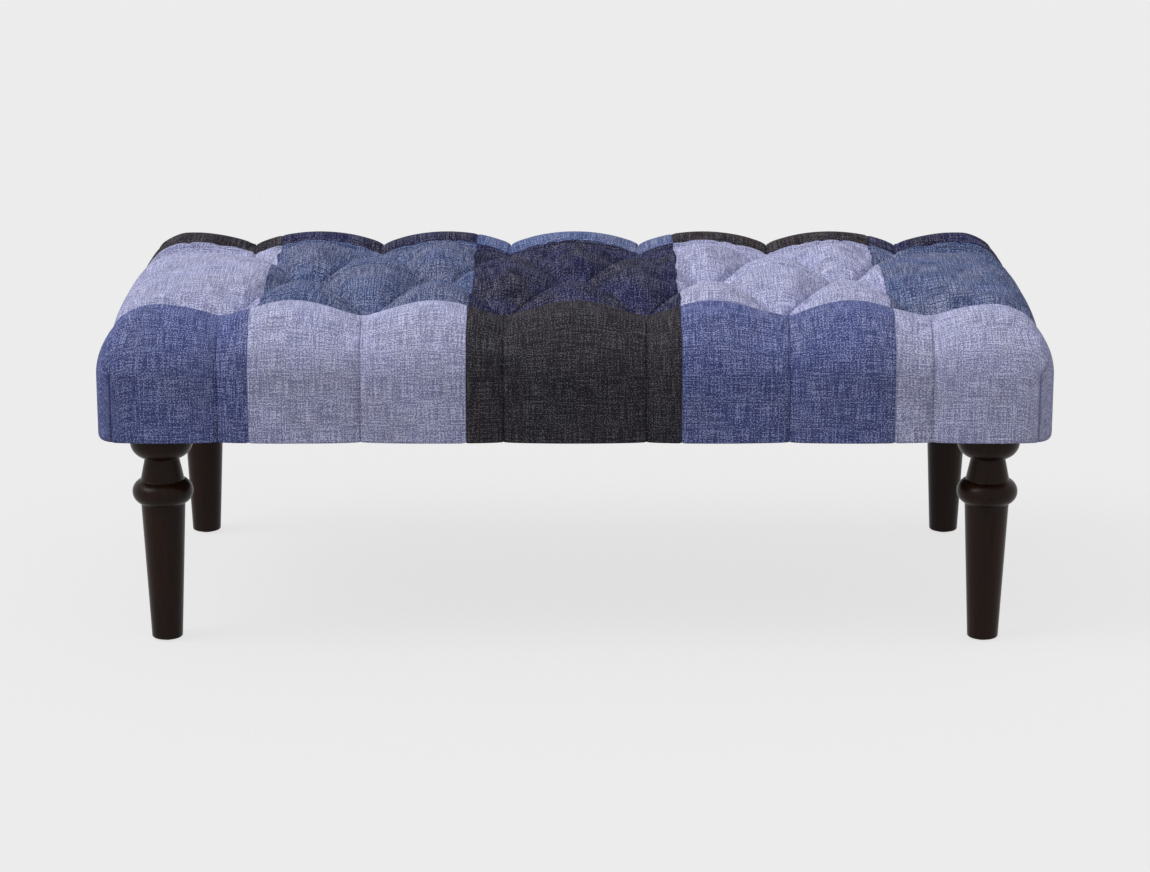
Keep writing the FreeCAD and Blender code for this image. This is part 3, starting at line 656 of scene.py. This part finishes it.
def seam_distance(fabric):
    """Distance in millimetres from each point to the nearest patchwork seam."""
    s, t = np.abs(fabric[:, 0]), np.abs(fabric[:, 1])
    places = [np.abs(s - border) for border in PATCH_BORDERS] + [np.abs(t - SEAM_Y)]
    return np.min(places, axis=0)


def weave_places(fabric, on_bias):
    """Fabric coordinates for the weave: longer over the border wall, slanted behind the folds."""
    weave = fabric.copy()
    past_wall = eased((np.abs(fabric[:, 1]) - SEAM_Y) / BORDER_WALL + 1)
    weave[:, 1] += np.sign(fabric[:, 1]) * WALL_FABRIC * past_wall
    weave[on_bias] = weave[on_bias] @ np.array([[1.0, 1.0], [-1.0, 1.0]]) * math.sqrt(0.5)
    return weave


def make_cover():
    """The cover as fifteen patches that share one smooth surface."""
    points, fabric, quads, patch = build_grid(1, settled_shift())
    outward, shown = fold_places(points)
    seam_and_fold_gap = seam_distance(fabric)
    # The fold lines join the seams here, for the stitch groove below and for the material's painted
    # shade: painted shade in the seams, painted shadow under the folds' edges
    seam_and_fold_gap = np.where(shown > FOLD_SEEN, np.minimum(seam_and_fold_gap, np.abs(outward) + FOLD_SHADOW_PALER), seam_and_fold_gap)
    weave = weave_places(fabric, (outward > FOLD_EDGE) & (shown > 0))
    whole = add_mesh("cover_whole", points, quads)
    groove = STITCH_GROOVE * np.exp(-(seam_and_fold_gap / STITCH_GROOVE_WIDTH) ** 2)
    points = points - vertex_normals(whole.data) * groove[:, None]
    dip = SEAM_DIP * np.exp(-((np.abs(fabric[:, 1]) - SEAM_Y) / SEAM_DIP_WIDTH) ** 2)
    points[:, 2] -= dip * roll_share(points[:, 2])
    whole.data.vertices.foreach_set("co", (points * MM).astype(np.float32).ravel())
    whole.data.update()
    normals = vertex_normals(whole.data)
    pieces = {}
    for number in range(len(ROW_NAMES) * COLUMNS):
        row, column = ROW_NAMES[number // COLUMNS], number % COLUMNS
        used, local = np.unique(quads[patch == number], return_inverse=True)
        piece = add_mesh(f"patch_{row}_{column + 1}", points[used], local.reshape(-1, 4))
        piece.data.normals_split_custom_set_from_vertices(normals[used])
        add_attribute(piece, "fabric", np.column_stack([weave[used] * MM, np.zeros(len(used))]))
        add_attribute(piece, "seam_and_fold_gap", seam_and_fold_gap[used] * MM)
        pieces[row, column] = piece, np.ptp(fabric[used], axis=0) * MM
    bpy.data.objects.remove(whole)
    return pieces


def make_padding():
    """Foam on the deck with wadding down the rails, as one closed form just inside the cover."""
    points, _, quads, _ = build_grid(PADDING_COARSE)
    whole = add_mesh("padding_form", points, quads)
    outer = points - vertex_normals(whole.data) * PADDING_GAP
    outer[:, 2] -= PADDING_DROP * roll_share(points[:, 2])
    bpy.data.objects.remove(whole)
    lowest = COVER_BOTTOM_Z + BOTTOM_ROUND_UP - PADDING_REACH
    quads = quads[np.all(points[quads][:, :, 2] > lowest, axis=1)]
    reach = np.array([DECK_X + SOFT_CLEARANCE, DECK_Y + SOFT_CLEARANCE])
    inner = outer.copy()
    inner[:, :2] = np.clip(outer[:, :2], -reach, reach)
    inner[:, 2] = np.minimum(outer[:, 2], DECK_TOP_Z + SOFT_CLEARANCE)
    edges = np.concatenate([quads[:, [k, (k + 1) % 4]] for k in range(4)])
    known = set(map(tuple, edges))
    rim = np.array([pair for pair in edges if (pair[1], pair[0]) not in known])
    count = len(points)
    wall = np.stack([rim[:, 1], rim[:, 0], rim[:, 0] + count, rim[:, 1] + count], axis=-1)
    faces = np.concatenate([quads, quads[:, ::-1] + count, wall])
    used, local = np.unique(faces, return_inverse=True)
    corners = np.concatenate([outer, inner])[used]
    padding = add_mesh("seat_padding", corners, local.reshape(-1, 4))
    shape = bmesh.new()
    shape.from_mesh(padding.data)
    bmesh.ops.remove_doubles(shape, verts=shape.verts, dist=WELD_DISTANCE * MM)
    bmesh.ops.dissolve_degenerate(shape, edges=shape.edges, dist=WELD_DISTANCE * MM)
    shape.to_mesh(padding.data)
    shape.free()
    return padding


def make_dust_cover():
    """Black cloth under the frame, drawn tight at its edge and sagging a little between."""
    half = np.array([DUST_HIGH.x, DUST_HIGH.y])
    lines = [np.linspace(-end, end, count) for end, count in zip(half, DUST_LINES)]
    x, y = np.meshgrid(*lines, indexing="ij")
    sag = DUST_SAG * (1 - (x / half[0]) ** DUST_FLATNESS) * (1 - (y / half[1]) ** DUST_FLATNESS)
    for low, high in [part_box(name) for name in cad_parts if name.startswith("leg_")]:
        middle = (low + high) / 2 / MM
        away = np.hypot(x - middle.x, y - middle.y)
        sag *= eased((away - LEG_CLEARANCE) / (2 * LEG_CLEARANCE))
    bend = DUST_BEND * np.sin(y / DUST_BEND_LENGTH)
    sag *= 1 + DUST_RIPPLE * np.sin(x / DUST_RIPPLE_LENGTH + bend)
    past_x, past_y = np.abs(x) - half[0] + DUST_ROUND, np.abs(y) - half[1] + DUST_ROUND
    past = np.maximum(np.hypot(past_x, past_y), TINY)
    pull = 1 - np.maximum(past_x, past_y) / past
    pull = np.where((past_x > 0) & (past_y > 0), pull, 0.0)
    x, y = x - np.sign(x) * past_x * pull, y - np.sign(y) * past_y * pull
    points = np.stack([x, y, DUST_LOW.z - sag], axis=-1).reshape(-1, 3)
    index = np.arange(x.size).reshape(x.shape)
    quads = np.stack([index[:-1, :-1], index[:-1, 1:], index[1:, 1:], index[1:, :-1]], axis=-1)
    return add_mesh("dust_cloth", points, quads.reshape(-1, 4))


# Materials: noise scales are in cells per metre

NOISE_MIDDLE = 0.5
WEFT_SCALE = (30.0, 620.0, 1.0)
WARP_SCALE = (620.0, 30.0, 1.0)
WARP_SHIFT = (3.1, 7.7, 0.0)
STREAK_SCALE = (330.0, 9.0, 1.0)
STREAK_SHIFT = (5.3, 1.9, 0.0)
BLOCK_SCALE = (60.0, 14.0, 1.0)
CROSS_BLOCK_SCALE = (14.0, 60.0, 1.0)
CROSS_BLOCK_SHIFT = (2.2, 4.6, 0.0)
FLECK_SCALE = 560.0
FADE_SCALE = 13.0
THREAD_WEIGHT = 0.6
FLECK_WEIGHT = 1.3
STREAK_WEIGHT = 0.2
BLOCK_WEIGHT = 0.16
FADE_RANGE = (0.4, 0.62)
DARK_RANGE = (0.44, 0.62)
LIGHT_RANGE = (0.63, 0.91)
DARK_TINT = (1.0, 0.96, 0.72)
LIGHT_GAIN = 0.5
LIGHT_GREY = 0.09
# Painted shade in the patch seams and painted shadow under the corner folds' edges: how dark, and
# the distances in metres over which it fades
PAINTED_SHADE = 0.55
PAINTED_SHADE_RANGE = (0.0004, 0.0016)
FABRIC_SPECULAR = 0.04
FABRIC_BUMP = (0.4, 0.0012)
GRAIN_SCALE = (260.0, 260.0, 9.0)
FIGURE_SCALE = (40.0, 40.0, 3.0)
FIGURE_SHIFT = (1.7, 0.4, 0.0)
GRAIN_WEIGHT = 0.6
FIGURE_WEIGHT = 0.4
WOOD_SPECULAR = 0.13
WOOD_GLOSS = (-0.04, 0.06)
WOOD_BUMP = (0.05, 0.0005)
SPECKLE_GLOSS = (-0.05, 0.05)
SPECKLE_BUMP = (0.2, 0.0004)
TONE_RANGE = (0.35, 0.65)
GLOSS_RANGE = (0.3, 0.7)


def srgb(red, green, blue):
    """Linear colour from 0-255 screen values."""
    def linear(value):
        value /= 255.0
        return value / 12.92 if value <= 0.04045 else ((value + 0.055) / 1.055) ** 2.4
    return (linear(red), linear(green), linear(blue), 1.0)


class Nodes:
    """Short-hand for the node tree of a material or of the world."""

    def __init__(self, owner):
        owner.use_nodes = True
        self.owner = owner
        self.tree = owner.node_tree
        self.shader = self.tree.nodes.get("Principled BSDF")

    def add(self, kind, inputs=(), **settings):
        node = self.tree.nodes.new(kind)
        for key, value in settings.items():
            setattr(node, key, value)
        for key, value in dict(inputs).items():
            self.put(node.inputs[key], value)
        return node

    def put(self, socket, value):
        if isinstance(value, bpy.types.NodeSocket):
            self.tree.links.new(value, socket)
        else:
            socket.default_value = value

    def math(self, operation, a, b):
        return self.add("ShaderNodeMath", {0: a, 1: b}, operation=operation).outputs[0]

    def weighted(self, value, extra, middle, weight):
        """value plus weight times how far extra lies from its middle."""
        aside = self.math("SUBTRACT", extra, middle)
        return self.math("ADD", value, self.math("MULTIPLY", aside, weight))

    def mix(self, factor, a, b, blend="MIX"):
        node = self.add("ShaderNodeMix", data_type="RGBA", blend_type=blend)
        for key, value in (("Factor", factor), ("A", a), ("B", b)):
            socket = [item for item in node.inputs if item.name == key and item.enabled][0]
            self.put(socket, value)
        return [item for item in node.outputs if item.enabled][0]

    def scaled(self, vector, scale, shift=(0.0, 0.0, 0.0)):
        inputs = {"Vector": vector, "Scale": scale, "Location": shift}
        return self.add("ShaderNodeMapping", inputs).outputs[0]

    def noise(self, vector, detail, roughness, scale=1.0):
        inputs = {"Vector": vector, "Scale": scale, "Detail": detail, "Roughness": roughness}
        return self.add("ShaderNodeTexNoise", inputs).outputs["Fac"]

    def spread(self, value, limits, to_low=0.0, to_high=1.0):
        inputs = {"Value": value, "From Min": limits[0], "From Max": limits[1],
                  "To Min": to_low, "To Max": to_high}
        return self.add("ShaderNodeMapRange", inputs).outputs[0]

    def bump(self, height, strength, distance):
        inputs = {"Height": height, "Strength": strength, "Distance": distance}
        self.put(self.shader.inputs["Normal"], self.add("ShaderNodeBump", inputs).outputs[0])


def fabric_material(name, body, faded, deep, pale, shift):
    """Slubby plain weave: pale and dark crossed threads on a ground that fades in places."""
    n = Nodes(bpy.data.materials.new(name))
    fabric = n.add("ShaderNodeAttribute", attribute_name="fabric").outputs["Vector"]
    place = n.scaled(fabric, (1.0, 1.0, 1.0), shift)
    weft = n.noise(n.scaled(place, WEFT_SCALE), detail=0.0, roughness=0.6)
    warp = n.noise(n.scaled(place, WARP_SCALE, WARP_SHIFT), detail=0.0, roughness=0.6)
    streak = n.noise(n.scaled(place, STREAK_SCALE, STREAK_SHIFT), detail=2.0, roughness=0.6)
    block = n.noise(n.scaled(place, BLOCK_SCALE), detail=2.0, roughness=0.5)
    cross_place = n.scaled(place, CROSS_BLOCK_SCALE, CROSS_BLOCK_SHIFT)
    cross_block = n.noise(cross_place, detail=2.0, roughness=0.5)
    fleck = n.noise(place, detail=0.0, roughness=0.6, scale=FLECK_SCALE)
    fade = n.noise(place, detail=3.0, roughness=0.55, scale=FADE_SCALE)
    value = n.math("ADD", n.math("MULTIPLY", weft, THREAD_WEIGHT),
                   n.math("MULTIPLY", warp, THREAD_WEIGHT))
    value = n.weighted(value, fleck, NOISE_MIDDLE, FLECK_WEIGHT)
    value = n.weighted(value, streak, NOISE_MIDDLE, STREAK_WEIGHT)
    blocks = n.math("ADD", block, cross_block)
    value = n.weighted(value, blocks, 2 * NOISE_MIDDLE, BLOCK_WEIGHT)
    tone = n.mix(n.spread(fade, FADE_RANGE), body, faded)
    darkening = tuple(1 - tint * deep for tint in DARK_TINT) + (1.0,)
    dark = n.mix(1.0, tone, darkening, "MULTIPLY")
    light = n.mix(1.0, tone, (1 + LIGHT_GAIN * pale,) * 3 + (1.0,), "MULTIPLY")
    light = n.mix(1.0, light, (LIGHT_GREY * pale,) * 3 + (1.0,), "ADD")
    colour = n.mix(n.spread(value, DARK_RANGE), dark, tone)
    colour = n.mix(n.spread(value, LIGHT_RANGE), colour, light)
    # Painted shade in the seams and painted shadow along the corner fold lines
    seam_and_fold_gap = n.add("ShaderNodeAttribute", attribute_name="seam_and_fold_gap").outputs["Fac"]
    colour = n.mix(n.spread(seam_and_fold_gap, PAINTED_SHADE_RANGE, PAINTED_SHADE, 0.0), colour, dark)
    n.put(n.shader.inputs["Base Color"], colour)
    n.shader.inputs["Roughness"].default_value = 1.0
    n.shader.inputs["Specular IOR Level"].default_value = FABRIC_SPECULAR
    n.bump(value, *FABRIC_BUMP)
    return n.owner


def wood_material(name, dark, body, roughness):
    """Wood with fine upright grain and a satin finish."""
    n = Nodes(bpy.data.materials.new(name))
    place = n.add("ShaderNodeTexCoord").outputs["Object"]
    grain = n.noise(n.scaled(place, GRAIN_SCALE), detail=4.0, roughness=0.6)
    figure = n.noise(n.scaled(place, FIGURE_SCALE, FIGURE_SHIFT), detail=2.0, roughness=0.5)
    value = n.math("ADD", n.math("MULTIPLY", grain, GRAIN_WEIGHT),
                   n.math("MULTIPLY", figure, FIGURE_WEIGHT))
    gloss = [roughness + change for change in WOOD_GLOSS]
    n.put(n.shader.inputs["Base Color"], n.mix(n.spread(value, TONE_RANGE), dark, body))
    n.put(n.shader.inputs["Roughness"], n.spread(grain, GLOSS_RANGE, *gloss))
    n.shader.inputs["Specular IOR Level"].default_value = WOOD_SPECULAR
    n.bump(grain, *WOOD_BUMP)
    return n.owner


def speckled_material(name, dark, light, scale, roughness, metallic=0.0):
    """Plain finish with an even fine mottling."""
    n = Nodes(bpy.data.materials.new(name))
    place = n.add("ShaderNodeTexCoord").outputs["Object"]
    value = n.noise(place, detail=3.0, roughness=0.6, scale=scale)
    gloss = [roughness + change for change in SPECKLE_GLOSS]
    n.put(n.shader.inputs["Base Color"], n.mix(n.spread(value, TONE_RANGE), dark, light))
    n.put(n.shader.inputs["Roughness"], n.spread(value, GLOSS_RANGE, *gloss))
    n.shader.inputs["Metallic"].default_value = metallic
    n.bump(value, *SPECKLE_BUMP)
    return n.owner


# Ground and faded ground, depth of the dark threads, paleness of the light ones, weave's shift
FABRIC_TONES = {
    "royal_blue": ((85, 93, 140), (92, 99, 140), 0.5, 1.4, (0.0, 0.0, 0.0)),
    "lavender": ((161, 162, 194), (158, 159, 186), 0.42, 0.95, (0.3, 0.1, 0.0)),
    "charcoal": ((46, 44, 50), (50, 46, 52), 0.26, 0.8, (0.7, 0.2, 0.0)),
    "slate_blue": ((80, 92, 128), (94, 100, 128), 0.5, 1.4, (0.1, 0.9, 0.0)),
    "navy": ((46, 47, 82), (46, 45, 64), 0.45, 1.1, (0.5, 0.5, 0.0)),
    "denim_blue": ((84, 98, 138), (102, 110, 144), 0.45, 1.2, (0.2, 0.6, 0.0)),
    "brown_charcoal": ((52, 46, 49), (46, 44, 51), 0.26, 0.8, (0.8, 0.4, 0.0)),
}
FABRICS = {
    name: fabric_material(name, srgb(*body), srgb(*faded), deep, pale, shift)
    for name, (body, faded, deep, pale, shift) in FABRIC_TONES.items()
}
ESPRESSO = wood_material("espresso_wood", srgb(22, 11, 7), srgb(42, 23, 14), 0.3)
FRAME_WOOD = wood_material("frame_wood", srgb(150, 116, 78), srgb(190, 156, 112), 0.6)
PLYWOOD = wood_material("plywood", srgb(166, 130, 90), srgb(204, 170, 126), 0.6)
STEEL = speckled_material("zinc_steel", srgb(150, 152, 156), srgb(186, 188, 192), 300.0, 0.35, 1.0)
NYLON = speckled_material("glide_nylon", srgb(52, 50, 48), srgb(66, 64, 62), 400.0, 0.45)
TWINE = speckled_material("twine", srgb(180, 172, 152), srgb(214, 206, 188), 900.0, 0.85)
PLASTIC = speckled_material("washer_plastic", srgb(206, 206, 204), srgb(224, 224, 222), 300.0, 0.5)
FOAM = speckled_material("foam", srgb(222, 210, 176), srgb(238, 228, 200), 500.0, 0.95)
DUST_CLOTH = speckled_material("dust_cloth", srgb(26, 26, 28), srgb(40, 40, 42), 700.0, 0.95)
NODE_FINISHES = {
    "leg_": ESPRESSO, "foot_glide_": NYLON,
    "corner_block_screws": STEEL, "corner_block_": FRAME_WOOD,
    "_rail": FRAME_WOOD, "_cross_brace": FRAME_WOOD, "rail_dowels": FRAME_WOOD,
    "deck_panel": PLYWOOD, "hanger_bolts": STEEL, "tee_nuts": STEEL, "deck_screws": STEEL,
    "tuft_twines": TWINE, "twine_washers": PLASTIC,
}
for column, slot in enumerate(PATCH_SLOTS["top"]):
    NODE_FINISHES[f"tuft_buttons_{column + 1}"] = FABRICS[slot]


def finish_nodes():
    """Gives every carried-over node the material of the first finish whose word it holds."""
    for name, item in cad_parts.items():
        for word, material in NODE_FINISHES.items():
            if word in name:
                item.data.materials.clear()
                item.data.materials.append(material)
                break


# Stage: sizes in metres, angles in degrees

FLOOR_HALF = 30.0
PALE = 0.83
BOUNCE = 0.46
SHADOW = 0.10
FLOOR_GLOW = 0.73
SKY_LOW = 0.15
SKY_HIGH = 1.0
KEY_ENERGY = 1.6
KEY_ANGLE = 35.0
KEY_DIRECTION = (0.64, 0.18, -0.75)
SENSOR_WIDTH = 36.0
LENS = 106.5
CAMERA_PLACE = (0.0, -4.5576, 1.4298)
CAMERA_TILT = 75.022
WHITE = (1.0, 1.0, 1.0, 1.0)


def grey(level):
    return (level, level, level, 1.0)


def seen_ray(n):
    """1 for rays that show the background to the eye: straight, reflected and refracted ones."""
    path = n.add("ShaderNodeLightPath")
    either = n.math("MAXIMUM", path.outputs["Is Camera Ray"], path.outputs["Is Glossy Ray"])
    return n.math("MAXIMUM", either, path.outputs["Is Transmission Ray"])


def make_floor():
    """Pale floor that keeps the stool's shadow."""
    mesh = bpy.data.meshes.new("floor")
    corners = [(x * FLOOR_HALF, y * FLOOR_HALF, 0) for x, y in ((-1, -1), (1, -1), (1, 1), (-1, 1))]
    mesh.from_pydata(corners, [], [(0, 1, 2, 3)])
    floor = bpy.data.objects.new("floor", mesh)
    bpy.context.collection.objects.link(floor)
    n = Nodes(bpy.data.materials.new("floor"))
    n.shader.inputs["Base Color"].default_value = grey(BOUNCE)
    n.shader.inputs["Roughness"].default_value = 1.0
    n.shader.inputs["Specular IOR Level"].default_value = 0.0
    seen = n.add("ShaderNodeBsdfDiffuse", {"Color": grey(SHADOW)}).outputs[0]
    glow = n.add("ShaderNodeEmission", {"Color": WHITE, "Strength": FLOOR_GLOW}).outputs[0]
    pale = n.add("ShaderNodeAddShader", {0: seen, 1: glow}).outputs[0]
    shown = n.add("ShaderNodeMixShader", {0: seen_ray(n), 1: n.shader.outputs[0], 2: pale})
    n.put(n.tree.nodes["Material Output"].inputs["Surface"], shown.outputs[0])
    mesh.materials.append(n.owner)


def make_sky():
    """Pale backdrop that lights the stool from above more than from the sides."""
    world = bpy.data.worlds.new("studio")
    bpy.context.scene.world = world
    n = Nodes(world)
    direction = n.add("ShaderNodeTexCoord").outputs["Generated"]
    upward = n.add("ShaderNodeSeparateXYZ", {0: direction}).outputs["Z"]
    light = n.spread(upward, (0.0, 1.0), SKY_LOW, SKY_HIGH)
    strength = n.add("ShaderNodeMix", {"Factor": seen_ray(n), "A": light, "B": PALE}).outputs[0]
    background = n.tree.nodes["Background"]
    n.put(background.inputs["Color"], WHITE)
    n.put(background.inputs["Strength"], strength)


def make_key_light():
    """Broad soft light from the upper left front."""
    data = bpy.data.lights.new("key", "SUN")
    data.energy = KEY_ENERGY
    data.angle = math.radians(KEY_ANGLE)
    lamp = bpy.data.objects.new("key", data)
    lamp.rotation_euler = Vector(KEY_DIRECTION).to_track_quat("-Z", "Y").to_euler()
    bpy.context.collection.objects.link(lamp)


def make_camera():
    data = bpy.data.cameras.new("camera")
    data.sensor_fit = "HORIZONTAL"
    data.sensor_width = SENSOR_WIDTH
    data.lens = LENS
    camera = bpy.data.objects.new("camera", data)
    camera.location = CAMERA_PLACE
    camera.rotation_euler = (math.radians(CAMERA_TILT), 0.0, 0.0)
    bpy.context.collection.objects.link(camera)
    bpy.context.scene.camera = camera


def assemble():
    for (row, column), (piece, span) in make_cover().items():
        slot = PATCH_SLOTS[row][column]
        piece.data.materials.append(FABRICS[slot])
        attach(piece, "root")
        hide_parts(f"cover_{row}_{column + 1}")
    padding = make_padding()
    padding.data.materials.append(FOAM)
    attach(padding, "root")
    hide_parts("foam_pad", "front_wadding", "back_wadding", "left_wadding",
                "right_wadding")
    cloth = make_dust_cover()
    cloth.data.materials.append(DUST_CLOTH)
    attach(cloth, "root")
    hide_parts("dust_cover")
    finish_nodes()
    make_floor()
    make_sky()
    make_key_light()
    make_camera()


assemble()
bpy.context.scene.view_settings.view_transform = "Standard"
